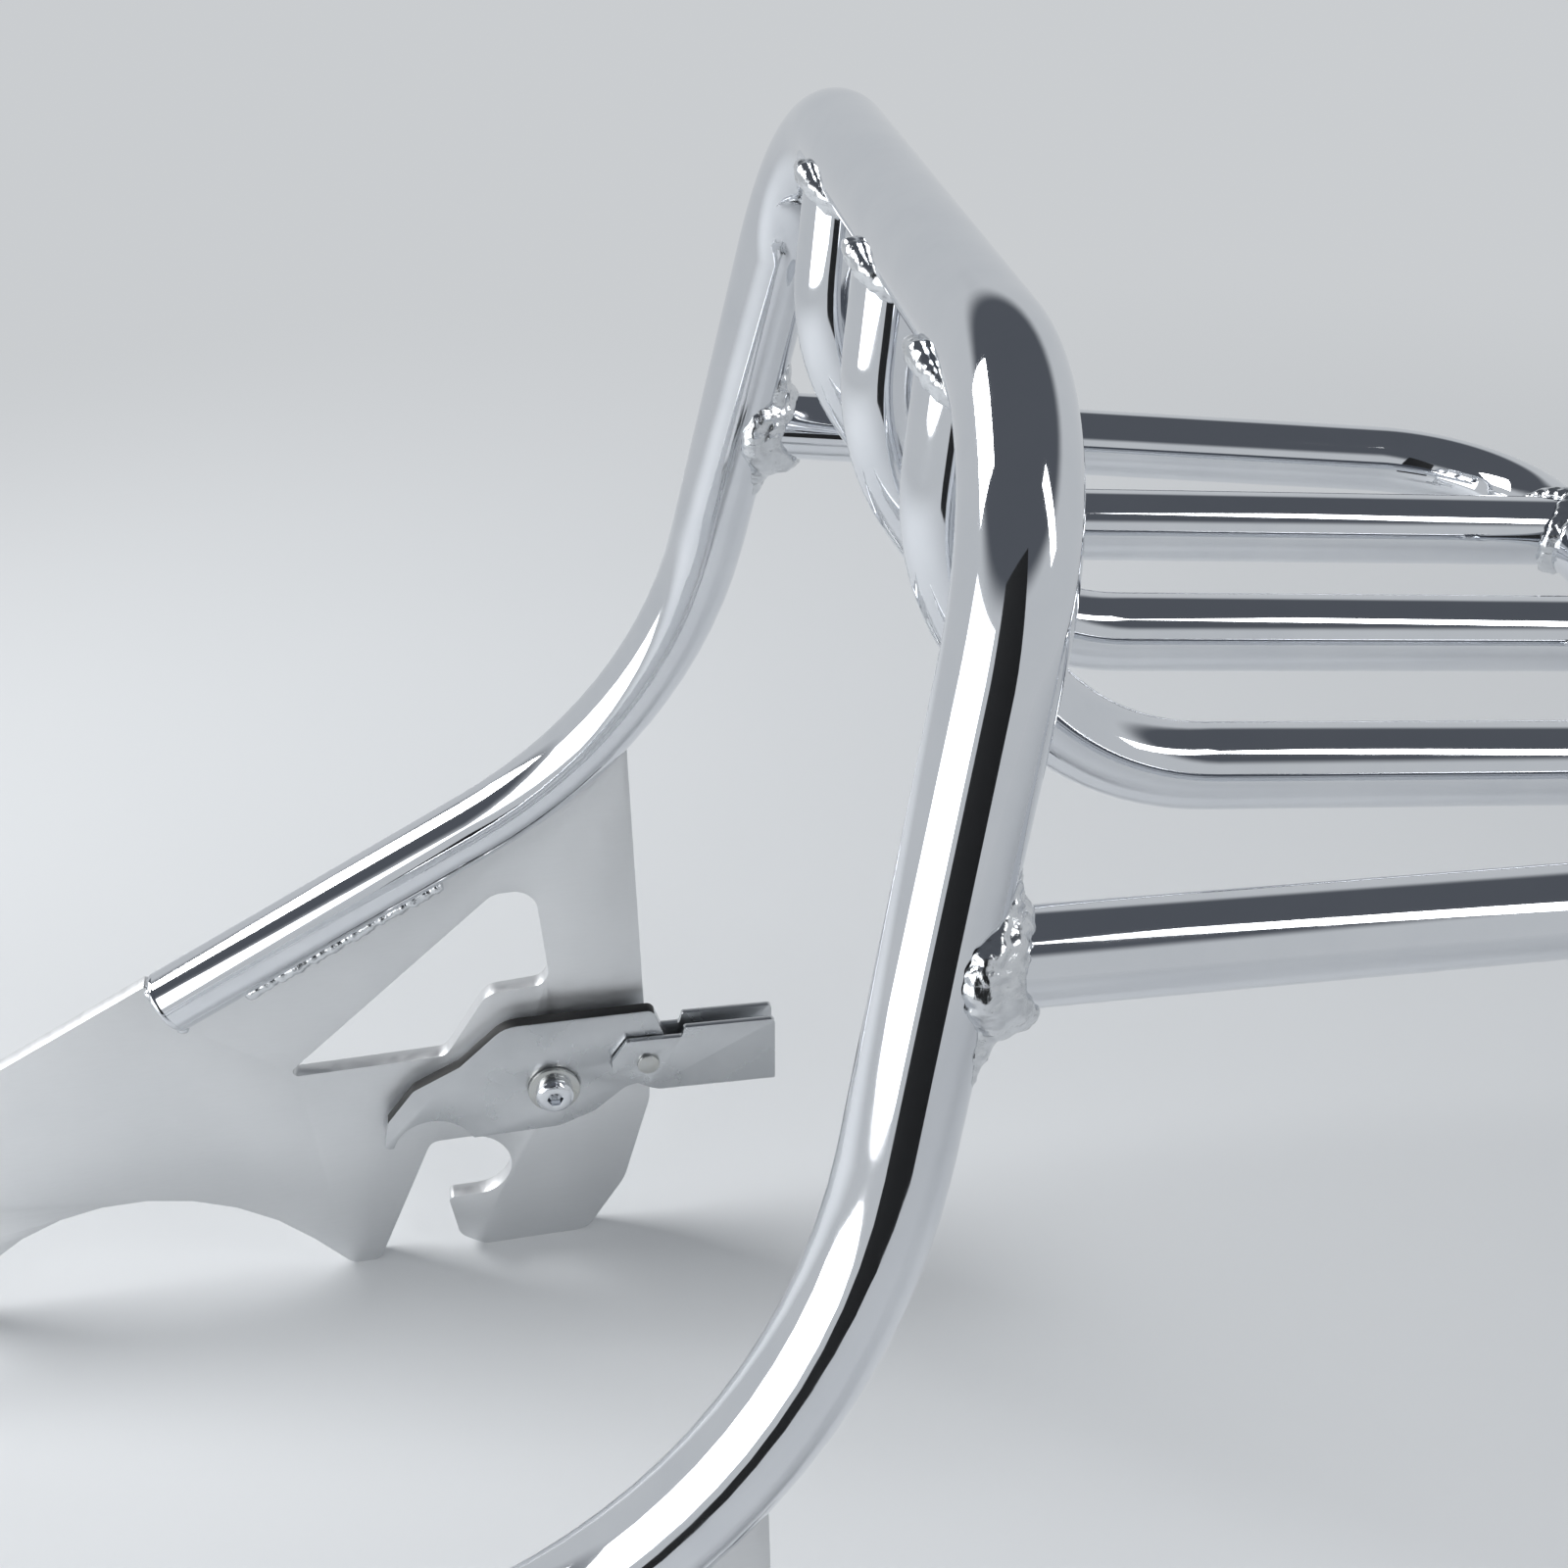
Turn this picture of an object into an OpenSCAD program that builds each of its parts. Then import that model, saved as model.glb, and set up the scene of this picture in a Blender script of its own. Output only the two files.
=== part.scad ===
// Detachable luggage rack with an upright hoop, for the tail of a motorcycle.
// Millimetres. X runs towards the rear of the motorcycle, Y to its right, Z up.
// The rack stands on the feet of its side plates, on the plane Z = 0.

/* [Hoop] */
// Outside diameter of the bent hoop tube
hoop_d = 22.2; // [19:0.1:26]
// Wall of the hoop tube
hoop_wall = 2; // [1.2:0.1:3]
// Height of the joints between hoop and rails above the feet
joint_h = 315.5; // [300:0.5:330]
// Distance from the middle of the rack to each leg, at the rails
leg_half = 134; // [125:1:145]
// Height of the top tube above the rails
arch_rise = 93; // [85:1:105]
// Drop from the rails to the corner of the lower bend
leg_drop = 105; // [98:1:112]
// Lean of the legs towards the rear, in degrees
leg_lean = 14.9; // [10:0.1:18]
// Angle by which each leg comes in towards the top, in degrees
leg_splay = 10.5; // [8:0.1:12]
// Slope of the lower runs towards the front, in degrees
run_slope = 26.2; // [23:0.1:29]
// Length of a lower run, from the corner of the bend to the tube's end
run_len = 192; // [180:1:204]
// Centre-line radius of the two top corners
top_bend_r = 51; // [40:1:55]
// Centre-line radius of the two lower bends
low_bend_r = 154; // [130:1:160]
// Thickness of the discs that close the tube's ends
cap_t = 2; // [1.5:0.5:3]

/* [Deck] */
// Outside diameter of the rails
rail_d = 19; // [16:0.5:20]
// Wall of the rails
rail_wall = 1.2; // [1:0.1:2.5]
// Length of the deck from the legs to the rear tube, along the slope
deck_len = 225; // [200:1:235]
// Slope of the deck down towards the rear, in degrees
deck_slope = 7.8; // [5:0.1:9]
// Angle by which each outer rail comes in towards the rear, in degrees
deck_splay = 5.5; // [3:0.1:7]
// Centre-line radius of the deck's two rear corners
corner_r = 40; // [30:1:44]
// Distance from one inner rail to the next
inner_pitch = 64; // [56:1:66]
// How far the foot of a riser lies behind the legs
riser_back = 16; // [13:0.5:19]
// Height above the joints at which a riser starts to lean back
riser_knee = 45; // [42:1:48]
// How far behind the legs a riser turns into its rail
riser_run = 46; // [44:1:50]
// Centre-line radius of both bends of a riser
riser_bend_r = 58; // [50:1:62]
// How far the top of a riser meets the top tube ahead of its centre
riser_lead = 1.5; // [0:0.1:1.6]

/* [Side plates] */
// Thickness of a side plate
plate_t = 6.35; // [5:0.05:8]
// Radius of the docking slots
dock_r = 13.5; // [11:0.5:14]
// Height of the docking slots above the feet
dock_h = 38; // [36:0.5:40]
// How far the rear slot lies ahead of the joints with the rails
dock_lead = 111; // [109:0.5:113]
// Distance between the front and the rear slot
dock_pitch = 201; // [198:1:206]
// How far the nose of a plate reaches ahead of its front slot
nose_len = 34; // [30:1:38]
// Height of the arch between the feet
arch_h = 43.5; // [40:0.5:46]
// Radius of that arch
arch_r = 79; // [76:0.5:80]
// Distance from the middle of the arch to the tips of the feet beside it
arch_half = 73; // [72:0.5:74]
// How far the middle of the arch lies behind the front slot
arch_back = 79; // [77:0.5:81]
// Radius of the rounded tips of the feet
foot_r = 5; // [3:0.5:6]
// How far the nose rakes back from its top to the front foot
nose_rake = 16; // [12:1:18]
// How far the middle foot stands ahead of the rear slot
mid_foot = 39; // [38:0.5:40]
// How far the hook under the rear slot reaches ahead of the slot's centre
hook_lead = 11; // [10:0.5:12]
// How far the heel of the rear foot lies behind that centre
heel_back = 37; // [36:0.5:40]
// Height of the lower edge of the window in a plate
window_h = 88.8; // [88:0.2:91]
// How far the window's front corner reaches ahead of the rear slot
window_lead = 59; // [56:0.5:62]
// How far the window's rear edge lies behind that slot
window_back = 36; // [34:0.5:38]
// Height of the step in the window's lower edge, over the latch
window_step = 24.7; // [23:0.1:26]
// Height of the window's upper edge above the docking slots
window_top = 115; // [113:0.5:116]

/* [Latches] */
// Thickness of a latch
latch_t = 5; // [4:0.5:6]
// How far the pivot of a latch lies behind its docking slot
pivot_back = 32.5; // [31:0.5:34]
// Height of the pivot above the docking slot
pivot_rise = 37.2; // [36:0.2:39]
// Angle through which a latch swings shut, in degrees
latch_swing = 22; // [20:0.5:23]
// Gap between a latch and its side plate
latch_gap = 3.6; // [3.4:0.1:4.5]
// Diameter of the sleeve on which a latch turns
sleeve_d = 12; // [11:0.5:13]
// Diameter of the pivot bolt's shank
bolt_d = 8; // [6:0.5:9]
// Diameter of the pivot bolt's head
head_d = 13; // [12:0.5:14]
// Height of the pivot bolt's head
head_h = 5; // [4:0.5:7]
// Width of the hexagon socket in the head
socket_w = 5; // [4:0.5:6]
// Diameter of the washer under the head
washer_d = 18; // [16:0.5:20]
// Thickness of the washer
washer_t = 1.6; // [1:0.1:2]
// Width across the flats of the nut
nut_w = 13; // [12:0.5:15]
// Height of the nut
nut_h = 6.5; // [5:0.5:8]

/* [Handles] */
// Thickness of the sheet that a handle is folded from
sheet_t = 2.2; // [1.8:0.1:2.4]
// Length of a handle behind its pin
handle_len = 44.5; // [36:0.5:52]
// Depth of a handle's sides below the pin
handle_low = 13; // [12:0.5:15]
// Height of a handle's sides above the pin
handle_top = 14; // [12.5:0.5:16]
// Diameter of the handle's pin
pin_d = 5; // [4:0.5:6]
// Diameter of the pin's head
pin_head_d = 7.6; // [7.2:0.2:9]
// Height of the pin's head
pin_head_h = 1; // [0.8:0.1:1.5]
// Droop of the handle behind its pin, in degrees
handle_droop = 3; // [0:0.5:5]

/* [Welds] */
// Width of the bead round an outer rail, where it meets a leg
leg_bead = 6.5; // [5:0.5:7]
// Width of the other beads on the deck
deck_bead = 3.5; // [2.5:0.5:5]
// How far these beads stand out beside the tube
bead_rise = 1.2; // [0.8:0.1:2]
// Radius of the stitches between tube and plate
stitch_r = 2.6; // [2:0.1:3]
// Length of one stitch
stitch_len = 9; // [7:0.5:11]
// Distance from one stitch to the next
stitch_pitch = 13; // [12:0.5:16]
// Number of stitches on each face of a plate
stitch_count = 6; // [4:1:7]
// Distance from the tube's end to the first stitch
stitch_start = 24; // [20:1:30]

/* [Hidden] */
$fn = 48;
left = -1;
right = 1;

// Running fit of a sleeve or pin, all round
fit = 0.05;
// Clearance on the faces of what turns
face_gap = 0.15;
// Clearance between a handle's sides and the latch
side_gap = 0.5;
// Room between a closed latch and the post that it holds
post_gap = 1.2;
// Gap between the closed tube end and the step in the plate
end_gap = 0.3;
// Length by which a cutting solid runs past what it cuts
past = 2;
// A bend is this much fuller than the straight tube, all round
seam = 0.1;
// The straights reach this far into a bend
lap = 0.3;

hoop_r = hoop_d / 2;
rail_r = rail_d / 2;

// Plan of the whole rack: its nose and its rear tube lie equally far from the middle
deck_run = deck_len * cos(deck_slope);
nose_lead = dock_lead + dock_pitch + nose_len;
joint_x = (nose_lead - deck_run - rail_r) / 2;

// Corners of the hoop's centre line, on the left or on the right
function joint(s) = [joint_x, s * leg_half, joint_h];
function up_leg(s, h) = joint(s) + h * [tan(leg_lean), -s * tan(leg_splay), 1];
function top_corner(s) = up_leg(s, arch_rise);
function low_corner(s) = up_leg(s, -leg_drop);
run_dir = [-cos(run_slope), 0, -sin(run_slope)];
function run_end(s) = low_corner(s) + run_len * run_dir;
plate_y = abs(low_corner(right)[1]);

// Corners of the deck's outer rail
function rear_corner(s) = [joint_x + deck_run, s * (leg_half - deck_len * tan(deck_splay)),
    joint_h - deck_len * sin(deck_slope)];
function deck_z(x) = joint_h - (x - joint_x) * tan(deck_slope);

// Corners of one inner rail, from the top tube to the rear tube
function inner_path(y) = [
    [top_corner(right)[0] - riser_lead, y, top_corner(right)[2]],
    [joint_x + riser_back, y, joint_h + riser_knee],
    [joint_x + riser_run, y, deck_z(joint_x + riser_run)],
    [joint_x + deck_run, y, deck_z(joint_x + deck_run)]];

// Places on the side plates
dock_x = joint_x - dock_lead;
front_x = dock_x - dock_pitch;
pivot_x = dock_x + pivot_back;
pivot_h = dock_h + pivot_rise;
inner_face = plate_y - plate_t / 2;
latch_face = inner_face - latch_gap;
// How far the handle's pin lies behind the pivot
pin_back = 33.4;
// Height of that pin above the pivot
pin_rise = 7;
pin_x = pivot_x + pin_back;
pin_z = pivot_h + pin_rise;
handle_w = latch_t + 2 * (side_gap + sheet_t);

function unit(v) = v / norm(v);
function between(a, b) = acos(unit(a) * unit(b));
// A direction square to d
function square_to(d) = unit(cross(d, abs(d[1]) < 0.9 * norm(d) ? [0, 1, 0] : [1, 0, 0]));

// Frame with its origin at o and its axes along x, y and z
module frame(o, x, y, z) {
    multmatrix([[x[0], y[0], z[0], o[0]], [x[1], y[1], z[1], o[1]], [x[2], y[2], z[2], o[2]], [0, 0, 0, 1]])
        children();
}

// Moves what is drawn on Z to the line from p towards q
module along(p, q) {
    z = unit(q - p);
    x = square_to(z);
    frame(p, x, cross(z, x), z) children();
}

module bar(p, q, r) {
    along(p, q) cylinder(h = norm(q - p), r = r);
}

// The bend of radius r at corner b of the path a, b, c, as a solid bar of radius w
module bend(a, b, c, r, w) {
    half = between(a - b, c - b) / 2;
    p = b + unit(a - b) * r / tan(half);
    q = b + unit(c - b) * r / tan(half);
    o = b + unit(unit(a - b) + unit(c - b)) * r / sin(half);
    x = unit(p - o);
    z = unit(cross(p - o, q - o));
    frame(o, x, cross(z, x), z) rotate_extrude(angle = 180 - 2 * half) translate([r, 0]) circle(w);
}

// Length that the bend at corner b takes off each side
function trim(pts, radii, i) = i == 0 || i == len(pts) - 1 ? 0
    : radii[i - 1] / tan(between(pts[i - 1] - pts[i], pts[i + 1] - pts[i]) / 2);

// A solid bar of radius w along pts, with a bend at each inner corner; ends run on by extra
module bent_bar(pts, radii, w, extra = 0) {
    n = len(pts) - 1;
    for (i = [0:n - 1]) {
        d = unit(pts[i + 1] - pts[i]);
        bar(pts[i] + d * (i == 0 ? -extra : trim(pts, radii, i) - lap),
            pts[i + 1] - d * (i == n - 1 ? -extra : trim(pts, radii, i + 1) - lap), w);
    }
    for (i = [1:n - 1]) bend(pts[i - 1], pts[i], pts[i + 1], radii[i - 1], w + seam);
}

// Outline with rounded corners: each point is [x, z, radius]
function flat(p) = [p[0], p[1]];
function corner(a, b, c, r) =
    let (u = unit(a - b), v = unit(c - b), half = acos(u * v) / 2, o = b + unit(u + v) * r / sin(half),
        p = b + u * r / tan(half) - o, turn = 180 - 2 * half,
        way = u[0] * v[1] - u[1] * v[0] > 0 ? -1 : 1, steps = max(2, ceil(turn / 12)))
    [for (i = [0:steps]) o + [p[0] * cos(way * turn * i / steps) - p[1] * sin(way * turn * i / steps),
        p[0] * sin(way * turn * i / steps) + p[1] * cos(way * turn * i / steps)]];
function rounded(pts) = [for (i = [0:len(pts) - 1])
    let (n = len(pts), a = flat(pts[(i + n - 1) % n]), b = flat(pts[i]), c = flat(pts[(i + 1) % n]))
    each (pts[i][2] > 0 ? corner(a, b, c, pts[i][2]) : [b])];

// A sheet of thickness t, drawn in X and Z, with its middle at Y = y
module sheet(y, t) {
    translate([0, y + t / 2, 0]) rotate([90, 0, 0]) linear_extrude(t) children();
}

// The hoop: one tube, bent at two top corners and two lower bends
hoop_path = [run_end(left), low_corner(left), top_corner(left),
    top_corner(right), low_corner(right), run_end(right)];
hoop_radii = [low_bend_r, top_bend_r, top_bend_r, low_bend_r];

module hoop() color("gainsboro") difference() {
    bent_bar(hoop_path, hoop_radii, hoop_r);
    bent_bar(hoop_path, hoop_radii, hoop_r - hoop_wall, past);
}

module hoop_end_caps() color("silver") {
    for (s = [left, right]) bar(run_end(s), run_end(s) + run_dir * cap_t, hoop_r);
}

// Parts of the hoop as solid bars, to cut other pieces to fit
module leg_bar(s) {
    bar(low_corner(s), top_corner(s), hoop_r);
}

module arch_bar() {
    bent_bar([low_corner(left), top_corner(left), top_corner(right), low_corner(right)],
        [top_bend_r, top_bend_r], hoop_r);
}

module run_bar(s) {
    bent_bar([run_end(s), low_corner(s), top_corner(s)], [low_bend_r], hoop_r);
    bar(run_end(s), run_end(s) + run_dir * cap_t, hoop_r);
}

// Outer rail: one tube, from leg to leg round the rear of the deck
deck_path = [joint(left), rear_corner(left), rear_corner(right), joint(right)];

module deck_loop(r, extra = 0) {
    bent_bar(deck_path, [corner_r, corner_r], r, extra);
}

module outer_rail() color("gainsboro") difference() {
    deck_loop(rail_r);
    deck_loop(rail_r - rail_wall, past);
    for (s = [left, right]) leg_bar(s);
}

module inner_rail(y) color("gainsboro") difference() {
    bent_bar(inner_path(y), [riser_bend_r, riser_bend_r], rail_r);
    bent_bar(inner_path(y), [riser_bend_r, riser_bend_r], rail_r - rail_wall, past);
    arch_bar();
    deck_loop(rail_r);
}

// A bead round a bar of radius r that starts at p and runs towards q, out of a tube of radius tube_r
// whose axis runs along t: a cone that reaches wide beyond the tube, cut off bead_rise beside it
module bead(p, q, t, r, tube_r, wide) {
    z = unit(q - p);
    x = unit(cross(t, z));
    side = tube_r + bead_rise;
    back = tube_r / 2;
    foot = r + 2 * wide;
    frame(p, x, cross(z, x), z) difference() {
        intersection() {
            translate([0, 0, back]) cylinder(h = tube_r + wide - back, r1 = foot, r2 = r + bead_rise / 2);
            translate([-side, -foot - past, 0]) cube([2 * side, 2 * (foot + past), tube_r + wide + past]);
        }
        cylinder(h = tube_r + wide + past, r = r);
    }
}

module leg_welds() color("silver") for (s = [left, right]) difference() {
    bead(joint(s), rear_corner(s), top_corner(s) - low_corner(s), rail_r, hoop_r, leg_bead);
    leg_bar(s);
}

module riser_welds() color("silver")
for (i = [-1:1]) let (path = inner_path(i * inner_pitch)) difference() {
    bead(path[0], path[1], [0, 1, 0], rail_r, hoop_r, deck_bead);
    arch_bar();
}

module rear_welds() color("silver")
for (i = [-1:1]) let (path = inner_path(i * inner_pitch)) difference() {
    bead(path[3], path[2], [0, 1, 0], rail_r, rail_r, deck_bead);
    deck_loop(rail_r);
}

// A point on the lower bend's centre line, as seen from the side: t runs from 0 at the run to 1 at the leg
function low_bend_at(t) =
    let (a = run_end(right), b = low_corner(right), c = top_corner(right), half = between(a - b, c - b) / 2,
        p = b + unit(a - b) * low_bend_r / tan(half), q = b + unit(c - b) * low_bend_r / tan(half),
        o = b + unit(unit(a - b) + unit(c - b)) * low_bend_r / sin(half),
        turn = 180 - 2 * half, x = unit(p - o), y = cross(unit(cross(p - o, q - o)), x),
        at = o + low_bend_r * (cos(turn * t) * x + sin(turn * t) * y))
    [at[0], at[2]];

// Side plate: its top edge is cut to the tube, and a step ahead of the closed end lies flush with the tube
step_at = [run_end(right)[0], run_end(right)[2]] + (cap_t + end_gap) * [run_dir[0], run_dir[2]];
step_top = step_at + hoop_r * [-sin(run_slope), cos(run_slope)];
nose_x = front_x - nose_len;
nose_top = step_top[1] - (step_top[0] - nose_x) * tan(run_slope);
arch_x = front_x + arch_back;
arch_drop = arch_r - arch_h;
// Slope of the arch's straight flanks, which run from the feet to the circle
flank = asin(arch_r / norm([arch_half, arch_drop])) - atan2(arch_drop, arch_half);
// Rear edge of a plate above its heel: how far behind the slot's centre, height, rounding
rear_edge = [[53, 22, 20], [65.5, 58, 18]];

module plate_outline() difference() {
    polygon(rounded([
        [nose_x, nose_top, 9], [nose_x + nose_rake, 0, 6], [arch_x - arch_half, 0, foot_r],
        [arch_x, arch_half * tan(flank), arch_r],
        [arch_x + arch_half, 0, foot_r], [dock_x - mid_foot, 0, foot_r],
        [dock_x - dock_r, dock_h + dock_r, 5], [dock_x, dock_h + dock_r, 0],
        [dock_x, dock_h - dock_r, 0], [dock_x - hook_lead, dock_h - dock_r, 2],
        [dock_x - hook_lead + 2, 6, 6], [dock_x - hook_lead + 10, 0, 8], [dock_x + heel_back, 0, 9],
        each [for (e = rear_edge) [dock_x + e[0], e[1], e[2]]],
        each [for (t = [0.5, 0.25, 0]) [low_bend_at(t)[0], low_bend_at(t)[1], 0]],
        [step_at[0], step_at[1], 0], [step_top[0], step_top[1], 1]]));
    translate([dock_x, dock_h]) circle(dock_r);
    front_slot();
    window_outline();
}

// The front slot is open towards the front
module front_slot() {
    flare = 2;
    translate([front_x, dock_h]) circle(dock_r);
    polygon([[front_x, dock_h - dock_r], [front_x, dock_h + dock_r],
        [nose_x - past, dock_h + dock_r + flare], [nose_x - past, dock_h - dock_r - flare]]);
}

// Window: its upper edge runs beside the tube, and its lower right corner steps up over the latch
module window_outline() polygon(rounded([
    [dock_x - window_lead, window_h, 2], [dock_x + window_back - 15, dock_h + window_top, 8],
    [dock_x + window_back - 1, dock_h + window_top, 8], [dock_x + window_back, window_h + window_step, 6],
    [dock_x + window_back - 22, window_h + window_step - 1, 7], [dock_x - 3, window_h, 6]]));

module side_plate(s) color("darkgray") difference() {
    sheet(s * plate_y, plate_t) plate_outline();
    run_bar(s);
    bolt_hole(s);
}

module bolt_hole(s) {
    translate([pivot_x, s * plate_y, pivot_h]) rotate([90, 0, 0])
        cylinder(h = plate_t + 2 * past, r = bolt_d / 2 + fit, center = true);
}

// Stitches along the joint between run and plate, and a bead across the disc that closes the tube
run_up = [-sin(run_slope), 0, cos(run_slope)];

module plate_welds(s) color("silver") difference() {
    for (f = [-1, 1]) {
        face = [0, f * plate_t / 2, 0];
        for (i = [0:stitch_count - 1]) {
            from_corner = run_len - stitch_start - i * stitch_pitch;
            seat = low_corner(s) + run_dir * from_corner + face - hoop_r * run_up;
            bar(seat, seat - run_dir * stitch_len, stitch_r);
        }
        foot = run_end(s) + run_dir * cap_t + face;
        bar(foot - (hoop_r - stitch_r) * run_up, foot + (hoop_r - stitch_r) * run_up, stitch_r);
    }
    sheet(s * plate_y, plate_t) plate_outline();
    run_bar(s);
}

// Latch, seen from its pivot: a beam with a beak in front and a tail that the handle straddles
post_far = norm([pivot_back, pivot_rise]);
post_angle = 180 + atan2(pivot_rise, pivot_back) - latch_swing;

// Its outline from the beak's tip over the top to the tail: how far behind the pivot, height, rounding
latch_edge = [[-61.5, -17.5, 2], [-58.5, -5.5, 3], [-48, 6.8, 5], [-31, 14.5, 8], [-14, 28.8, 12],
    [37, 27.5, 3], [42, 9, 6], [40, -2, 6], [25, -4, 8], [13, -13, 9], [0, -17.5, 9]];

module latch_outline() difference() {
    polygon(rounded(latch_edge));
    translate(post_far * [cos(post_angle), sin(post_angle)]) circle(dock_r + post_gap);
    circle(sleeve_d / 2 + fit);
    translate([pin_back, pin_rise]) circle(pin_d / 2 + fit);
}

// Moves what is drawn round the right-hand pivot to the latch's place on side s
module at_pivot(s) {
    mirror([0, s == left ? 1 : 0, 0]) translate([pivot_x, 0, pivot_h]) children();
}

module latch(s) color("darkgray") at_pivot(s) sheet(latch_face - latch_t / 2, latch_t) latch_outline();

// Turned pieces of the pivot, each from y1 to y2 on the axis
module turned(y1, y2, r) {
    translate([0, y2, 0]) rotate([90, 0, 0]) cylinder(h = y2 - y1, r = r);
}

sleeve_end = latch_face - latch_t - face_gap;

module pivot_bush(s) color("silver") at_pivot(s) difference() {
    union() {
        turned(latch_face + face_gap, inner_face, washer_d / 2);
        turned(sleeve_end, inner_face, sleeve_d / 2);
    }
    turned(sleeve_end - past, inner_face + past, bolt_d / 2);
}

module pivot_washer(s) color("silver") at_pivot(s) difference() {
    turned(sleeve_end - washer_t, sleeve_end, washer_d / 2);
    turned(sleeve_end - washer_t - past, sleeve_end + past, bolt_d / 2);
}

// The bolt's thread stands this far out of its nut
thread_out = 1.5;
bolt_tip = plate_y + plate_t / 2 + nut_h + thread_out;

module pivot_bolt(s) color("gainsboro") at_pivot(s) difference() {
    union() {
        turned(sleeve_end - washer_t, bolt_tip, bolt_d / 2);
        translate([0, sleeve_end - washer_t, 0]) rotate([90, 0, 0]) rotate_extrude() polygon([
            [0, 0], [head_d / 2, 0], [head_d / 2, head_h * 0.7], [head_d / 2 - head_h * 0.2, head_h * 0.93],
            [head_d / 2 - head_h * 0.4, head_h], [0, head_h]]);
    }
    translate([0, sleeve_end - washer_t - head_h * 0.35, 0]) rotate([90, 0, 0])
        cylinder(h = head_h, r = socket_w / sqrt(3), $fn = 6);
}

module pivot_nut(s) color("silver") at_pivot(s) difference() {
    translate([0, inner_face + plate_t + nut_h, 0]) rotate([90, 0, 0]) intersection() {
        cylinder(h = nut_h, r = nut_w / sqrt(3), $fn = 6);
        cylinder(h = nut_h, r1 = nut_w / 2, r2 = nut_w / 2 + nut_h * 1.6);
    }
    turned(inner_face, bolt_tip + past, bolt_d / 2);
}

// Handle, seen from its pin: a folded channel, open at the top; its web starts web_back behind the pin
web_back = 7;
// Room cut out ahead of the pin, where the channel has no web
nose_room = 20;

module handle_side() polygon(rounded([
    [-12.5, -3.5, 2], [-12.5, 2, 2], [-7, 10, 2], [12, 10, 1], [13, handle_top, 1],
    [handle_len, handle_top, 1.5], [handle_len, -handle_low, 2], [6, -handle_low, 2], [0, -10.5, 3]]));

module channel() polygon(rounded([
    [-handle_w / 2, -handle_low, sheet_t], [handle_w / 2, -handle_low, sheet_t],
    [handle_w / 2, handle_top + past, 0], [handle_w / 2 - sheet_t, handle_top + past, 0],
    [handle_w / 2 - sheet_t, sheet_t - handle_low, 0.6], [sheet_t - handle_w / 2, sheet_t - handle_low, 0.6],
    [sheet_t - handle_w / 2, handle_top + past, 0], [-handle_w / 2, handle_top + past, 0]]));

// Moves what is drawn round the right-hand pin to the handle's place on side s
module at_pin(s) {
    mirror([0, s == left ? 1 : 0, 0]) translate([pin_x, latch_face - latch_t / 2, pin_z])
        rotate([0, handle_droop, 0]) children();
}

module handle(s) color("silver") at_pin(s) difference() {
    intersection() {
        sheet(0, handle_w) handle_side();
        translate([-nose_room, 0, 0]) rotate([90, 0, 90])
            linear_extrude(nose_room + handle_len + past) channel();
    }
    translate([-nose_room, sheet_t - handle_w / 2, -handle_low - past])
        cube([nose_room + web_back, handle_w - 2 * sheet_t, handle_low + handle_top + 2 * past]);
    turned(-handle_w, handle_w, pin_d / 2);
}

module handle_pin(s) color("silver") at_pin(s) {
    turned(-handle_w / 2, handle_w / 2, pin_d / 2);
    turned(-handle_w / 2 - pin_head_h, -handle_w / 2, pin_head_d / 2);
}

hoop();
hoop_end_caps();
outer_rail();
inner_rail(-inner_pitch);  // inner_rail_left
inner_rail(0);  // inner_rail_centre
inner_rail(inner_pitch);  // inner_rail_right
leg_welds();
riser_welds();
rear_welds();
side_plate(left);  // side_plate_left
side_plate(right);  // side_plate_right
plate_welds(left);  // plate_welds_left
plate_welds(right);  // plate_welds_right
latch(left);  // latch_left
latch(right);  // latch_right
pivot_bush(left);  // pivot_bush_left
pivot_bush(right);  // pivot_bush_right
pivot_washer(left);  // pivot_washer_left
pivot_washer(right);  // pivot_washer_right
pivot_bolt(left);  // pivot_bolt_left
pivot_bolt(right);  // pivot_bolt_right
pivot_nut(left);  // pivot_nut_left
pivot_nut(right);  // pivot_nut_right
handle(left);  // handle_left
handle(right);  // handle_right
handle_pin(left);  // handle_pin_left
handle_pin(right);  // handle_pin_right
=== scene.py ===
import math
import random

import bpy
from mathutils import Matrix, Vector, noise


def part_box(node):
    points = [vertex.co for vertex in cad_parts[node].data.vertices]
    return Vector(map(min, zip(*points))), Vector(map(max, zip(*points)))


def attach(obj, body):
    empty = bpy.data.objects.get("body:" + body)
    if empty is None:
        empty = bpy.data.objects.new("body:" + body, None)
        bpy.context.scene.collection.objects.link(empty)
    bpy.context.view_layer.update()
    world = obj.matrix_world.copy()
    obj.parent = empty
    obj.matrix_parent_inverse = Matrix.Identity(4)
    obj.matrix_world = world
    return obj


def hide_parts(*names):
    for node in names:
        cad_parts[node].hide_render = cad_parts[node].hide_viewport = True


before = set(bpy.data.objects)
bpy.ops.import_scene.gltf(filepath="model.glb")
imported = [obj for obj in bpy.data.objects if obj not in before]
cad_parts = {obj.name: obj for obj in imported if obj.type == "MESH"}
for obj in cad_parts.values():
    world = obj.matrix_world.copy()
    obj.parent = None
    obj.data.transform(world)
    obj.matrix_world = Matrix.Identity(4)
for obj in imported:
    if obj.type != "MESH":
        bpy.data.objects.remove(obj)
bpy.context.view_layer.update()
scene = bpy.context.scene
scene.view_settings.view_transform = "Standard"
mm = 0.001


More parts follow.
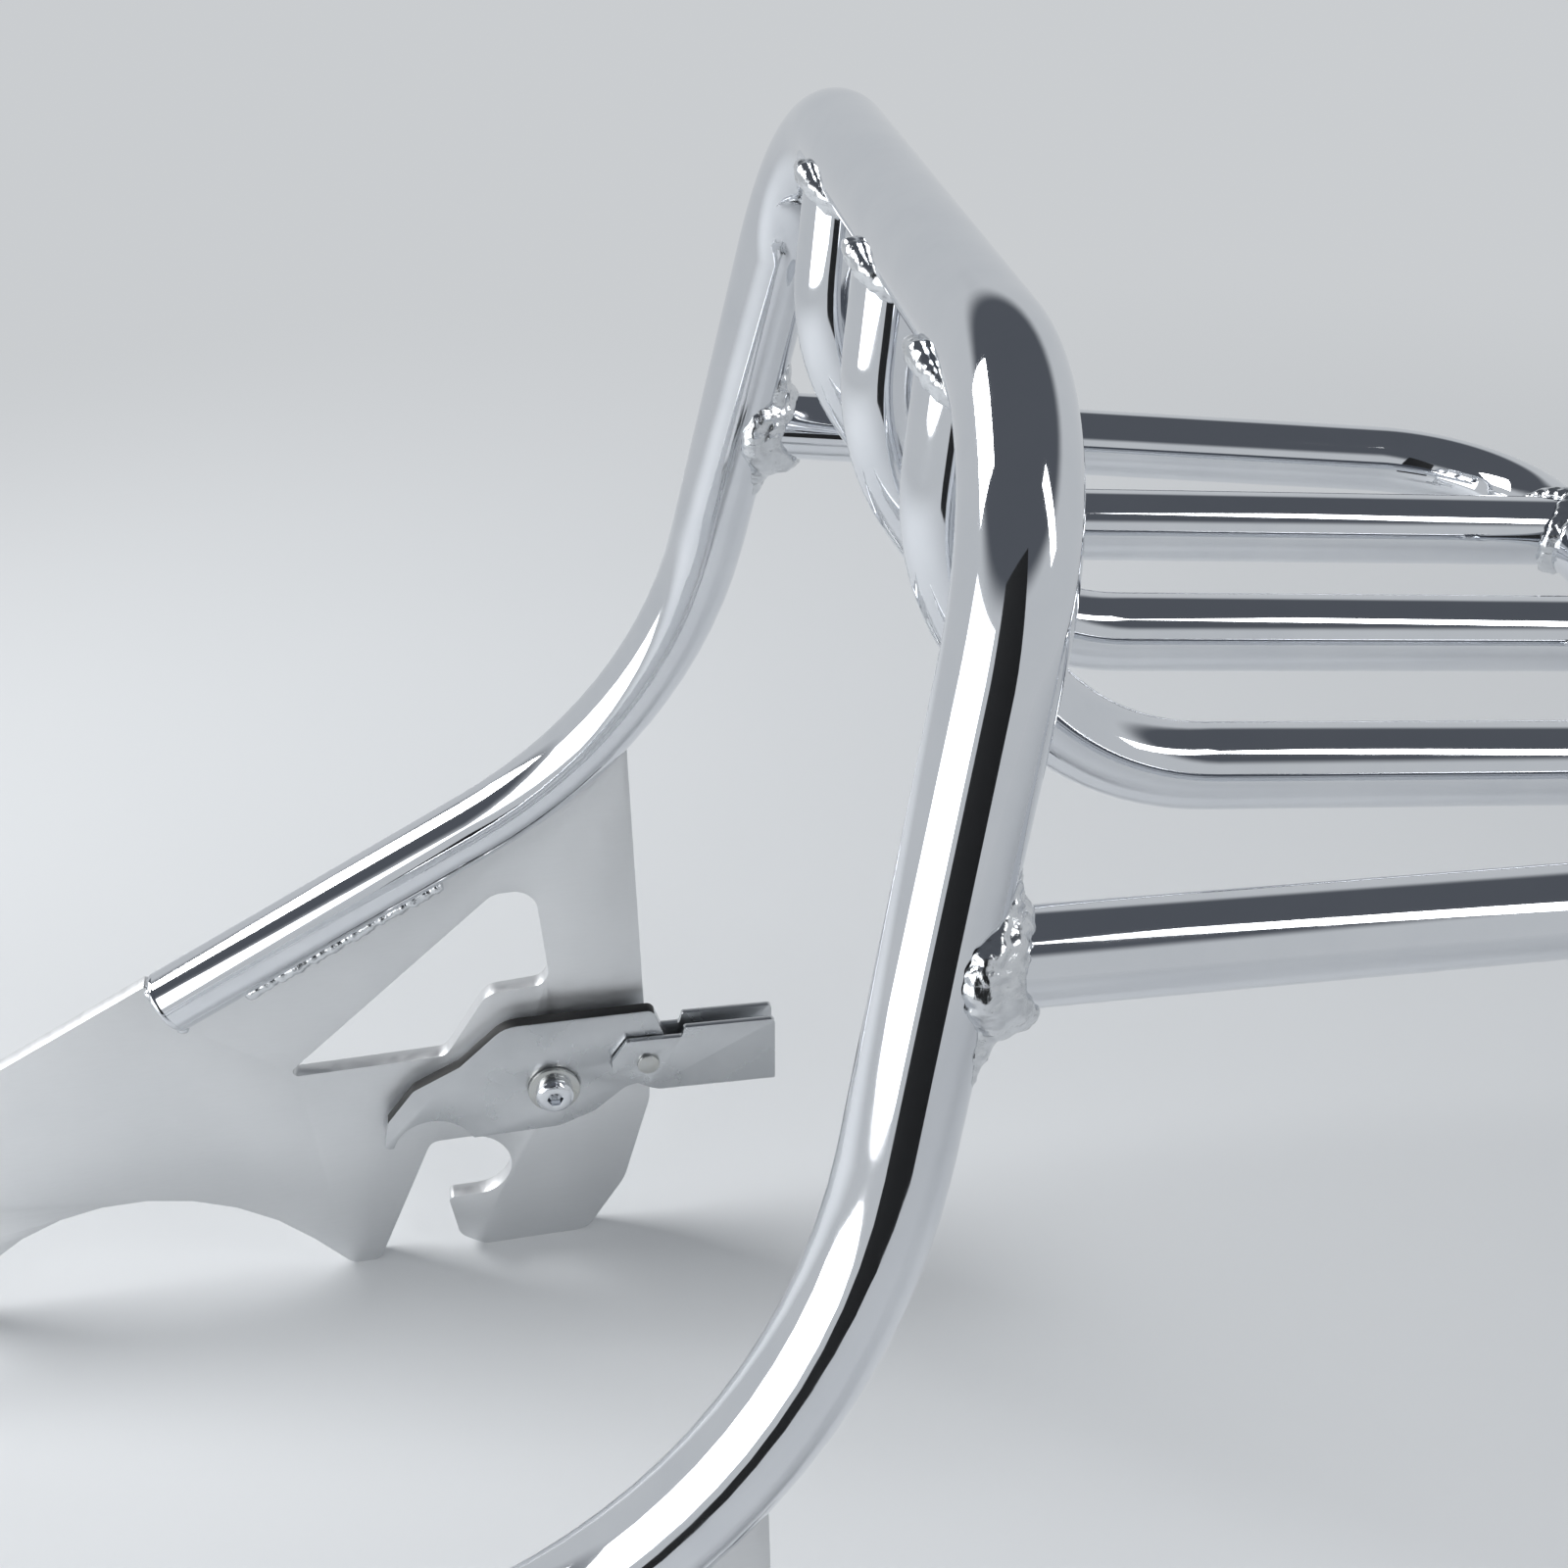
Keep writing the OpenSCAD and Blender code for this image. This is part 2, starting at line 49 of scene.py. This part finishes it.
# Camera: it stands close to the left leg, a little above the hoop, and looks across the rack and down on its
# right side.
eye = Vector((-5.97, -430.03, 540.78)) * mm
look_ahead = Vector((0.10558, 0.84545, -0.52351))
look_right = Vector((0.98645, -0.15552, -0.05223))
look_up = look_right.cross(look_ahead)
camera = bpy.data.objects.new("camera", bpy.data.cameras.new("camera"))
camera.data.lens = 47.77
camera.data.sensor_width = 36
camera.data.clip_start = 0.01
scene.collection.objects.link(camera)
turn = Matrix((look_right, look_up, -look_ahead)).transposed().to_4x4()
camera.matrix_world = Matrix.Translation(eye) @ turn
scene.camera = camera


# Floor, world and lamps: a pale matt tabletop and soft boxes in a studio whose ceiling is dim, so that
# polished tube shows bright stripes beside dark ones.
def linear(code):
    """An sRGB colour such as "d8dadc" as linear red, green, blue and alpha."""
    parts = [int(code[i : i + 2], 16) / 255 for i in (0, 2, 4)]
    return (*[c / 12.92 if c <= 0.04045 else ((c + 0.055) / 1.055) ** 2.4 for c in parts], 1.0)


def add_node(tree, kind, inputs=None, **settings):
    """Adds a node; inputs are values or other nodes' sockets, by name or number."""
    made = tree.nodes.new(kind)
    for key, value in settings.items():
        setattr(made, key, value)
    for key, value in (inputs or {}).items():
        if isinstance(value, bpy.types.NodeSocket):
            tree.links.new(value, made.inputs[key])
        else:
            made.inputs[key].default_value = value
    return made


def new_material(name):
    """A material with no nodes yet, and the node tree to fill."""
    material = bpy.data.materials.new(name)
    material.use_nodes = True
    material.node_tree.nodes.clear()
    return material, material.node_tree


def finish_material(tree, shader):
    add_node(tree, "ShaderNodeOutputMaterial", {"Surface": shader.outputs[0]})


# Matt paper: a broad mottle of two near greys. Far from the rack it fades to the pale of the horizon, as a curved
# sheet does, but only to the eye and in reflections, so that it throws no more light on the rack.
paper, tree = new_material("matt_paper")
place = add_node(tree, "ShaderNodeTexCoord").outputs["Object"]
mottle = add_node(tree, "ShaderNodeTexNoise", {"Vector": place, "Scale": 1.5, "Detail": 3.0})
grey = add_node(
    tree,
    "ShaderNodeMix",
    {0: mottle.outputs[0], 6: linear("d6d9db"), 7: linear("dfe1e3")},
    data_type="RGBA",
)
sheet = add_node(tree, "ShaderNodeBsdfPrincipled", {"Base Color": grey.outputs[2], "Roughness": 0.85})
horizon = add_node(tree, "ShaderNodeEmission", {"Color": linear("d4d7da"), "Strength": 0.9})
distance = add_node(tree, "ShaderNodeVectorMath", {0: place}, operation="LENGTH")
fade = add_node(
    tree, "ShaderNodeMapRange", {"Value": distance.outputs["Value"], 1: 0.5, 2: 1.3, 3: 0.0, 4: 1.0},
    interpolation_type="SMOOTHSTEP",
)
ray = add_node(tree, "ShaderNodeLightPath")
mirrored = add_node(
    tree,
    "ShaderNodeMath",
    {0: ray.outputs["Is Glossy Ray"], 1: ray.outputs["Is Transmission Ray"]},
    operation="MAXIMUM",
)
seen = add_node(
    tree, "ShaderNodeMath", {0: ray.outputs["Is Camera Ray"], 1: mirrored.outputs[0]}, operation="MAXIMUM"
)
share = add_node(tree, "ShaderNodeMath", {0: fade.outputs[0], 1: seen.outputs[0]}, operation="MULTIPLY")
finish_material(
    tree, add_node(tree, "ShaderNodeMixShader", {0: share.outputs[0], 1: sheet.outputs[0], 2: horizon.outputs[0]})
)

bpy.ops.object.select_all(action="DESELECT")
bpy.ops.mesh.primitive_circle_add(vertices=96, radius=6, fill_type="NGON")
floor = bpy.context.object
floor.name = "floor"
floor.data.materials.append(paper)

# The room: pale up to a third of its height, dim above
room = bpy.data.worlds.new("dim_studio")
room.use_nodes = True
room.node_tree.nodes.clear()
tree = room.node_tree
way = add_node(tree, "ShaderNodeTexCoord").outputs["Generated"]
height = add_node(tree, "ShaderNodeSeparateXYZ", {0: way}).outputs["Z"]
rise = add_node(
    tree, "ShaderNodeMapRange", {"Value": height, 1: 0.38, 2: 0.58, 3: 0.0, 4: 1.0}, interpolation_type="SMOOTHSTEP"
)
tone = add_node(
    tree, "ShaderNodeMix", {0: rise.outputs[0], 6: linear("d4d7da"), 7: linear("5c6067")}, data_type="RGBA"
)
sky = add_node(tree, "ShaderNodeBackground", {"Color": tone.outputs[2], "Strength": 0.9})
add_node(tree, "ShaderNodeOutputWorld", {"Surface": sky.outputs[0]})
scene.world = room


def soft_box(name, place, aim, width, height, power):
    """A rectangular lamp at place, turned towards aim."""
    lamp = bpy.data.objects.new(name, bpy.data.lights.new(name, "AREA"))
    lamp.data.shape = "RECTANGLE"
    lamp.data.size = width
    lamp.data.size_y = height
    lamp.data.energy = power
    lamp.location = place
    lamp.rotation_euler = (Vector(aim) - Vector(place)).to_track_quat("-Z", "Y").to_euler()
    scene.collection.objects.link(lamp)


soft_box("front_box", (-1.35, -0.75, 0.5), (0.0, -0.15, 0.4), 1.5, 0.95, 11)
soft_box("top_box", (-1.7, 0.9, 1.9), (0.0, 0.2, 0.1), 1.5, 1.1, 60)
soft_box("rear_box", (1.5, -1.0, 1.5), (0.0, 0.0, 0.2), 0.35, 1.2, 8)


# Black felt on a frame, as beside any polished thing in a studio: only its reflection shows, as the dark
# stripe along the near leg.
felt, tree = new_material("black_felt")
place = add_node(tree, "ShaderNodeTexCoord").outputs["Object"]
nap = add_node(tree, "ShaderNodeTexNoise", {"Vector": place, "Scale": 40.0})
shade = add_node(
    tree, "ShaderNodeMix", {0: nap.outputs[0], 6: linear("08090a"), 7: linear("121315")}, data_type="RGBA"
)
finish_material(
    tree, add_node(tree, "ShaderNodeBsdfPrincipled", {"Base Color": shade.outputs[2], "Roughness": 0.95})
)


def flag(name, centre, width, height, heading):
    """An upright black card that stands on the floor; it shows in reflections alone."""
    bpy.ops.object.select_all(action="DESELECT")
    turned = (math.radians(90), 0, math.radians(heading))
    bpy.ops.mesh.primitive_plane_add(size=1, location=(centre[0], centre[1], height / 2), rotation=turned)
    card = bpy.context.object
    card.name = name
    card.scale = (width, height, 1)
    bpy.ops.object.transform_apply(location=True, rotation=True, scale=True)
    card.data.materials.append(felt)
    card.visible_camera = False
    card.visible_diffuse = False
    card.visible_shadow = False


flag("side_flag", (-0.11, -0.85), 0.62, 1.0, 10)


# Hoop: one steel tube, drawn, bent at four places and chromed, with a 2 mm wall.
# It is grown from a ring by extruding along each straight and spinning round each bend.
rack_x = 56.791 * mm
joint_h = 315.5 * mm
leg_half = 134 * mm
leg_lean = math.radians(14.9)
leg_splay = math.radians(10.5)
run_slope = math.radians(26.2)
hoop_r = 11.1 * mm
arch_rise = 93 * mm
leg_drop = 105 * mm
run_len = 192 * mm
top_bend_r = 51 * mm
low_bend_r = 154 * mm


def leg_point(side, rise):
    """A point on a leg's centre line, rise above the joint with the rail."""
    return Vector(
        (
            rack_x + rise * math.tan(leg_lean),
            side * (leg_half - rise * math.tan(leg_splay)),
            joint_h + rise,
        )
    )


run_way = Vector((-math.cos(run_slope), 0, -math.sin(run_slope)))


def low_corner(side):
    return leg_point(side, -leg_drop)


def run_end(side):
    return low_corner(side) + run_way * run_len


def choose(piece):
    """Makes one object the only one selected, and active."""
    bpy.ops.object.select_all(action="DESELECT")
    piece.select_set(True)
    bpy.context.view_layer.objects.active = piece


def settle(piece):
    """Puts a finished piece's place into its mesh."""
    choose(piece)
    bpy.ops.object.transform_apply(location=True, rotation=True, scale=True)


def bent_tube(name, corners, bends, radius, wall, sides=72):
    """A hollow tube along corners, with an arc of the given radius at each inner one."""
    first = (corners[1] - corners[0]).normalized()
    bpy.ops.object.select_all(action="DESELECT")
    bpy.ops.mesh.primitive_circle_add(
        vertices=sides, radius=radius, location=corners[0], rotation=first.to_track_quat("Z", "Y").to_euler()
    )
    tube = bpy.context.object
    tube.name = name
    settle(tube)
    bpy.ops.object.mode_set(mode="EDIT")
    bpy.ops.mesh.select_all(action="SELECT")
    at = corners[0]
    for i in range(1, len(corners) - 1):
        back = (corners[i - 1] - corners[i]).normalized()
        on = (corners[i + 1] - corners[i]).normalized()
        half = back.angle(on) / 2
        start = corners[i] + back * bends[i - 1] / math.tan(half)
        centre = corners[i] + (back + on).normalized() * bends[i - 1] / math.sin(half)
        bpy.ops.mesh.extrude_region_move(TRANSFORM_OT_translate={"value": start - at})
        angle = math.pi - 2 * half
        steps = max(8, round(angle / math.radians(3.5)))
        bpy.ops.mesh.spin(steps=steps, angle=-angle, center=centre, axis=on.cross(back).normalized())
        at = corners[i] + on * bends[i - 1] / math.tan(half)
    bpy.ops.mesh.extrude_region_move(TRANSFORM_OT_translate={"value": corners[-1] - at})
    bpy.ops.mesh.select_all(action="SELECT")
    bpy.ops.mesh.remove_doubles(threshold=1e-6)
    bpy.ops.mesh.normals_make_consistent(inside=False)
    bpy.ops.object.mode_set(mode="OBJECT")
    shell = tube.modifiers.new("wall", "SOLIDIFY")
    shell.thickness = wall
    shell.offset = -1
    bpy.ops.object.modifier_apply(modifier="wall")
    bpy.ops.object.shade_smooth_by_angle(angle=math.radians(40))
    return tube


# Bright chrome plate on drawn steel tube: a mirror with faint polishing ripple and the odd smudge
chrome, tree = new_material("bright_chrome_plate")
place = add_node(tree, "ShaderNodeTexCoord").outputs["Object"]
smudge = add_node(tree, "ShaderNodeTexNoise", {"Vector": place, "Scale": 55.0, "Detail": 4.0, "Roughness": 0.6})
gloss = add_node(tree, "ShaderNodeMapRange", {"Value": smudge.outputs[0], 1: 0.4, 2: 0.75, 3: 0.025, 4: 0.09})
tint = add_node(
    tree, "ShaderNodeMix", {0: smudge.outputs[0], 6: linear("e6e8eb"), 7: linear("d9dce1")}, data_type="RGBA"
)
ripple = add_node(tree, "ShaderNodeTexNoise", {"Vector": place, "Scale": 38.0, "Detail": 1.0})
wave = add_node(tree, "ShaderNodeBump", {"Height": ripple.outputs[0], "Strength": 0.12, "Distance": 0.0006})
finish_material(
    tree,
    add_node(
        tree,
        "ShaderNodeBsdfPrincipled",
        {
            "Base Color": tint.outputs[2],
            "Metallic": 1.0,
            "Roughness": gloss.outputs[0],
            "Normal": wave.outputs[0],
        },
    ),
)

hoop = bent_tube(
    "hoop_tube",
    [run_end(-1), low_corner(-1), leg_point(-1, arch_rise), leg_point(1, arch_rise), low_corner(1), run_end(1)],
    [low_bend_r, top_bend_r, top_bend_r, low_bend_r],
    hoop_r,
    2 * mm,
)
hoop.data.materials.append(chrome)
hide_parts("hoop")
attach(hoop, "rack")


# The ends of the tube are closed by welded discs, ground flush before plating, so their rims are eased.
def eased(node, width, body, material, steps=2):
    """A CAD node's shape as a new piece, with its sharp edges rounded by width."""
    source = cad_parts[node]
    mesh = source.data.copy()
    mesh.transform(source.matrix_world)
    piece = bpy.data.objects.new(node + "_dressed", mesh)
    scene.collection.objects.link(piece)
    choose(piece)
    mesh.materials.clear()
    mesh.materials.append(material)
    bpy.ops.object.mode_set(mode="EDIT")
    bpy.ops.mesh.select_all(action="SELECT")
    bpy.ops.mesh.customdata_custom_splitnormals_clear()
    bpy.ops.mesh.remove_doubles(threshold=1e-6)
    bpy.ops.mesh.dissolve_limited(angle_limit=math.radians(0.5))
    bpy.ops.object.mode_set(mode="OBJECT")
    edge = piece.modifiers.new("edge", "BEVEL")
    edge.width = width
    edge.segments = steps
    edge.limit_method = "ANGLE"
    edge.angle_limit = math.radians(35)
    bpy.ops.object.modifier_apply(modifier="edge")
    bpy.ops.object.shade_smooth_by_angle(angle=math.radians(38))
    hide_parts(node)
    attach(piece, body)
    return piece


eased("hoop_end_caps", 0.7 * mm, "rack", chrome)


# Rails: the outer one is a single 19 mm tube round the deck. Three inner rails turn up in front into risers
# under the hoop. All are chromed, with a thin wall.
rail_r = 9.5 * mm
rail_wall = 1.2 * mm
inner_pitch = 64 * mm
corner_r = 40 * mm
riser_bend_r = 58 * mm
deck_slope = math.radians(7.8)
deck_len = 225 * mm
deck_run = deck_len * math.cos(deck_slope)
rear_half = leg_half - deck_len * math.tan(math.radians(5.5))


def rear_corner(side):
    return Vector((rack_x + deck_run, side * rear_half, joint_h - deck_len * math.sin(deck_slope)))


def deck_height(back):
    return joint_h - back * math.tan(deck_slope)


def inner_rail(y):
    """Corners of an inner rail at y, from the top tube to the rear tube."""
    top = leg_point(1, arch_rise)
    return [
        Vector((top.x - 1.5 * mm, y, top.z)),
        Vector((rack_x + 16 * mm, y, joint_h + 45 * mm)),
        Vector((rack_x + 46 * mm, y, deck_height(46 * mm))),
        Vector((rack_x + deck_run, y, deck_height(deck_run))),
    ]


def set_back(corners, first, last):
    """The same corners with the first and last moved in along the tube."""
    ahead = (corners[1] - corners[0]).normalized()
    behind = (corners[-2] - corners[-1]).normalized()
    return [corners[0] + ahead * first, *corners[1:-1], corners[-1] + behind * last]


loop = [leg_point(-1, 0), rear_corner(-1), rear_corner(1), leg_point(1, 0)]
outer = bent_tube("outer_rail_tube", set_back(loop, 6 * mm, 6 * mm), [corner_r, corner_r], rail_r, rail_wall)
rails = {"outer_rail": outer}
for name, y in (("inner_rail_left", -inner_pitch), ("inner_rail_centre", 0), ("inner_rail_right", inner_pitch)):
    line = set_back(inner_rail(y), 5 * mm, 3 * mm)
    rails[name] = bent_tube(name + "_tube", line, [riser_bend_r, riser_bend_r], rail_r, rail_wall)
for name, tube in rails.items():
    tube.data.materials.append(chrome)
    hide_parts(name)
    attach(tube, "rack")


# Welds of the deck: hand-laid weld metal under the plating, in overlapping lumps round each joint, heavy at the
# legs and small elsewhere. The lumps are joined into one skin by a fine remesh, then roughened a little.
random.seed(11)


def weld_skin(name, lumps, voxel, rough):
    """One lumpy skin over balls given as (centre, radius)."""
    bpy.ops.object.select_all(action="DESELECT")
    bpy.ops.mesh.primitive_ico_sphere_add(subdivisions=3, radius=1)
    skin = bpy.context.object
    skin.name = name
    for centre, radius in lumps[1:]:
        ball = bpy.data.objects.new(name, skin.data.copy())
        ball.data.transform(Matrix.Translation(centre) @ Matrix.Scale(radius, 4))
        scene.collection.objects.link(ball)
        ball.select_set(True)
    centre, radius = lumps[0]
    skin.data.transform(Matrix.Translation(centre) @ Matrix.Scale(radius, 4))
    bpy.ops.object.join()
    grid = skin.modifiers.new("skin", "REMESH")
    grid.mode = "VOXEL"
    grid.voxel_size = voxel
    bpy.ops.object.modifier_apply(modifier="skin")
    soft = skin.modifiers.new("soft", "SMOOTH")
    soft.iterations = 2
    bpy.ops.object.modifier_apply(modifier="soft")
    for v in skin.data.vertices:
        v.co += v.normal * rough * noise.noise(v.co * 520)
    bpy.ops.object.shade_smooth()
    return skin


def joint_ring(start, way, tube_way, tube_r, bar_r, lump, spread, count):
    """Balls along the line where a bar that leaves start along way meets a tube, and some beyond it."""
    side = way.cross(tube_way).normalized()
    up = side.cross(way).normalized()
    balls = []
    for i in range(count):
        a = 2 * math.pi * (i + random.uniform(-0.15, 0.15)) / count
        out = (side * math.cos(a) + up * math.sin(a)) * bar_r
        across = bar_r * math.cos(a)
        reach = math.sqrt(max(tube_r**2 - across**2, 0)) + out.dot(tube_way) * -way.dot(tube_way)
        for row, size in spread:
            grow = 1 + random.uniform(-0.1, 0.1)
            climb = 1 + max(0, 1 - row / (4 * lump)) * lump * 0.25 / bar_r
            balls.append((start + way * (reach + row) + out * climb, lump * size * grow))
    return balls


# Chromed weld metal: the same mirror over a pitted, drawn-out surface, darker in its pits
weld_metal, tree = new_material("chromed_weld_metal")
place = add_node(tree, "ShaderNodeTexCoord").outputs["Object"]
pits = add_node(tree, "ShaderNodeTexNoise", {"Vector": place, "Scale": 420.0, "Detail": 5.0, "Roughness": 0.6})
tint = add_node(
    tree, "ShaderNodeMix", {0: pits.outputs[0], 6: linear("c2c5c9"), 7: linear("eceef0")}, data_type="RGBA"
)
gloss = add_node(tree, "ShaderNodeMapRange", {"Value": pits.outputs[0], 1: 0.3, 2: 0.7, 3: 0.12, 4: 0.04})
relief = add_node(tree, "ShaderNodeBump", {"Height": pits.outputs[0], "Strength": 0.35, "Distance": 0.0007})
finish_material(
    tree,
    add_node(
        tree,
        "ShaderNodeBsdfPrincipled",
        {
            "Base Color": tint.outputs[2],
            "Metallic": 1.0,
            "Roughness": gloss.outputs[0],
            "Normal": relief.outputs[0],
        },
    ),
)

lumps = []
for side in (-1, 1):
    start = leg_point(side, 0)
    way = (rear_corner(side) - start).normalized()
    leg_way = (leg_point(side, 1) - leg_point(side, 0)).normalized()
    rows = ((-1 * mm, 1.0), (3 * mm, 0.8), (5.5 * mm, 0.5))
    lumps += joint_ring(start, way, leg_way, hoop_r, rail_r, 4 * mm, rows, 26)
    for end in (-1, 1):
        for climb, size in ((11, 4.2), (14, 3.6), (17, 2.9), (20, 2.2)):
            foot = start + leg_way * end * climb * mm + way * (hoop_r - 1.6 * mm)
            for across in (-5, -2, 1, 4):
                shift = Vector((0, across * mm * random.uniform(0.8, 1.1), 0))
                sunk = hoop_r - math.sqrt(hoop_r**2 - shift.y**2)
                lumps.append((foot + shift - way * sunk, size * mm))
leg_weld = weld_skin("leg_weld_beads", lumps, 0.75 * mm, 0.5 * mm)

lumps = []
for y in (-inner_pitch, 0, inner_pitch):
    line = inner_rail(y)
    way = (line[1] - line[0]).normalized()
    rows = ((-1.2 * mm, 1.0), (0.8 * mm, 0.8))
    lumps += joint_ring(line[0], way, Vector((0, 1, 0)), hoop_r, rail_r, 2.3 * mm, rows, 28)
riser_weld = weld_skin("riser_weld_beads", lumps, 0.7 * mm, 0.35 * mm)

lumps = []
for y in (-inner_pitch, 0, inner_pitch):
    line = inner_rail(y)
    way = (line[2] - line[3]).normalized()
    rows = ((-0.8 * mm, 1.0), (1.2 * mm, 0.8))
    lumps += joint_ring(line[3], way, Vector((0, 1, 0)), rail_r, rail_r, 2.3 * mm, rows, 28)
rear_weld = weld_skin("rear_weld_beads", lumps, 0.7 * mm, 0.35 * mm)

for piece, node in ((leg_weld, "leg_welds"), (riser_weld, "riser_welds"), (rear_weld, "rear_welds")):
    piece.data.materials.append(weld_metal)
    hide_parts(node)
    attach(piece, "rack")


# Side plates: two plates of quarter-inch steel, cut to shape and satin plated, with their cut edges eased.
# The finish is a fine upright grain under a soft shine.
satin, tree = new_material("satin_plated_steel")
place = add_node(tree, "ShaderNodeTexCoord").outputs["Object"]
grain = add_node(tree, "ShaderNodeMapping", {"Vector": place, "Scale": (1.0, 1.0, 9.0)})
brush = add_node(tree, "ShaderNodeTexNoise", {"Vector": grain.outputs[0], "Scale": 210.0, "Detail": 4.0})
cloud = add_node(tree, "ShaderNodeTexNoise", {"Vector": place, "Scale": 22.0, "Detail": 3.0})
tint = add_node(
    tree, "ShaderNodeMix", {0: cloud.outputs[0], 6: linear("dadcde"), 7: linear("e6e7e8")}, data_type="RGBA"
)
gloss = add_node(tree, "ShaderNodeMapRange", {"Value": brush.outputs[0], 1: 0.3, 2: 0.7, 3: 0.36, 4: 0.48})
lines = add_node(tree, "ShaderNodeBump", {"Height": brush.outputs[0], "Strength": 0.08, "Distance": 0.0002})
finish_material(
    tree,
    add_node(
        tree,
        "ShaderNodeBsdfPrincipled",
        {
            "Base Color": tint.outputs[2],
            "Metallic": 1.0,
            "Roughness": gloss.outputs[0],
            "Normal": lines.outputs[0],
        },
    ),
)
for hand in ("left", "right"):
    eased("side_plate_" + hand, 0.6 * mm, "rack", satin)


# Stitches of weld metal hold each plate to its run, on both faces, with a row of lumps across the tube's
# closed end.
plate_half = 3.175 * mm
run_up = Vector((-math.sin(run_slope), 0, math.cos(run_slope)))
for hand, side in (("left", -1), ("right", 1)):
    lumps = []
    for i in range(6):
        for face in (-1, 1):
            seat = low_corner(side) + run_way * (168 - i * 13) * mm - run_up * (hoop_r - 0.4 * mm)
            seat.y += face * (plate_half + 0.8 * mm)
            for k in range(5):
                slip = run_way * -(k * 2.2 + random.uniform(-0.4, 0.4)) * mm
                lumps.append((seat + slip, (2.3 + random.uniform(-0.3, 0.3)) * mm))
    for face in (-1, 1):
        for k in range(6):
            drop = run_up * (hoop_r - (3.2 + 3.4 * k) * mm)
            spot = run_end(side) + run_way * 2.2 * mm + drop
            spot.y += face * (plate_half + 0.6 * mm)
            lumps.append((spot, (2.5 + random.uniform(-0.4, 0.4)) * mm))
    stitches = weld_skin("stitch_beads_" + hand, lumps, 0.6 * mm, 0.3 * mm)
    stitches.data.materials.append(weld_metal)
    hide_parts("plate_welds_" + hand)
    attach(stitches, "rack")


# Latches: each is a 5 mm plate that turns on the pivot's bush. Its faces are satin. Its upper edge faces are
# painted near black, a painted dark reflection of the room, which shows as a dark line.
latch_steel, tree = new_material("bright_satin_steel")
place = add_node(tree, "ShaderNodeTexCoord").outputs["Object"]
cloud = add_node(tree, "ShaderNodeTexNoise", {"Vector": place, "Scale": 60.0, "Detail": 4.0})
tint = add_node(
    tree, "ShaderNodeMix", {0: cloud.outputs[0], 6: linear("bec1c4"), 7: linear("d4d6d8")}, data_type="RGBA"
)
gloss = add_node(tree, "ShaderNodeMapRange", {"Value": cloud.outputs[0], 1: 0.3, 2: 0.7, 3: 0.25, 4: 0.31})
finish_material(
    tree,
    add_node(
        tree,
        "ShaderNodeBsdfPrincipled",
        {"Base Color": tint.outputs[2], "Metallic": 1.0, "Roughness": gloss.outputs[0]},
    ),
)

# Painted dark reflection for the latch's upper edge: near black and almost matt, with a faint mottle
painted_dark_reflection, tree = new_material("painted_dark_reflection_edge")
place = add_node(tree, "ShaderNodeTexCoord").outputs["Object"]
reflection_mottle = add_node(tree, "ShaderNodeTexNoise", {"Vector": place, "Scale": 150.0, "Detail": 4.0})
tint = add_node(
    tree, "ShaderNodeMix", {0: reflection_mottle.outputs[0], 6: linear("08090a"), 7: linear("141415")}, data_type="RGBA"
)
finish_material(
    tree,
    add_node(
        tree,
        "ShaderNodeBsdfPrincipled",
        {"Base Color": tint.outputs[2], "Metallic": 0.0, "Roughness": 0.5},
    ),
)

for hand in ("left", "right"):
    latch = eased("latch_" + hand, 0.5 * mm, "latch_" + hand, latch_steel)
    latch.data.materials.append(painted_dark_reflection)
    # Upward edge faces above the lowest quarter of each latch take the painted dark reflection, as material slot 1.
    low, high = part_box("latch_" + hand)
    for face in latch.data.polygons:
        upward = face.normal.z > 0.35 and abs(face.normal.y) < 0.5
        if upward and face.center.z > low[2] + 0.24 * (high[2] - low[2]):
            face.material_index = 1


# Pivots: a flanged bush carries each latch. A washer, a socket-head bolt and a nut outside the plate clamp it.
# The small parts are zinc plated, and the bolt is chromed.
zinc, tree = new_material("bright_zinc_plate")
place = add_node(tree, "ShaderNodeTexCoord").outputs["Object"]
sheen = add_node(tree, "ShaderNodeTexNoise", {"Vector": place, "Scale": 130.0, "Detail": 3.0})
tint = add_node(
    tree, "ShaderNodeMix", {0: sheen.outputs[0], 6: linear("b9bcbf"), 7: linear("cbcac2")}, data_type="RGBA"
)
gloss = add_node(tree, "ShaderNodeMapRange", {"Value": sheen.outputs[0], 1: 0.3, 2: 0.7, 3: 0.16, 4: 0.3})
finish_material(
    tree,
    add_node(
        tree,
        "ShaderNodeBsdfPrincipled",
        {"Base Color": tint.outputs[2], "Metallic": 1.0, "Roughness": gloss.outputs[0]},
    ),
)
for hand in ("left", "right"):
    for part, edge in (("bush", 0.2), ("washer", 0.25), ("nut", 0.25)):
        eased(f"pivot_{part}_{hand}", edge * mm, "rack", zinc)
    eased(f"pivot_bolt_{hand}", 0.25 * mm, "rack", chrome)


# Handles: each is folded from 2.2 mm sheet into a channel, straddles the latch's tail and is held by a
# headed pin.
for hand in ("left", "right"):
    body = "handle_" + hand
    eased("handle_" + hand, 0.35 * mm, body, latch_steel)
    eased("handle_pin_" + hand, 0.25 * mm, body, zinc)
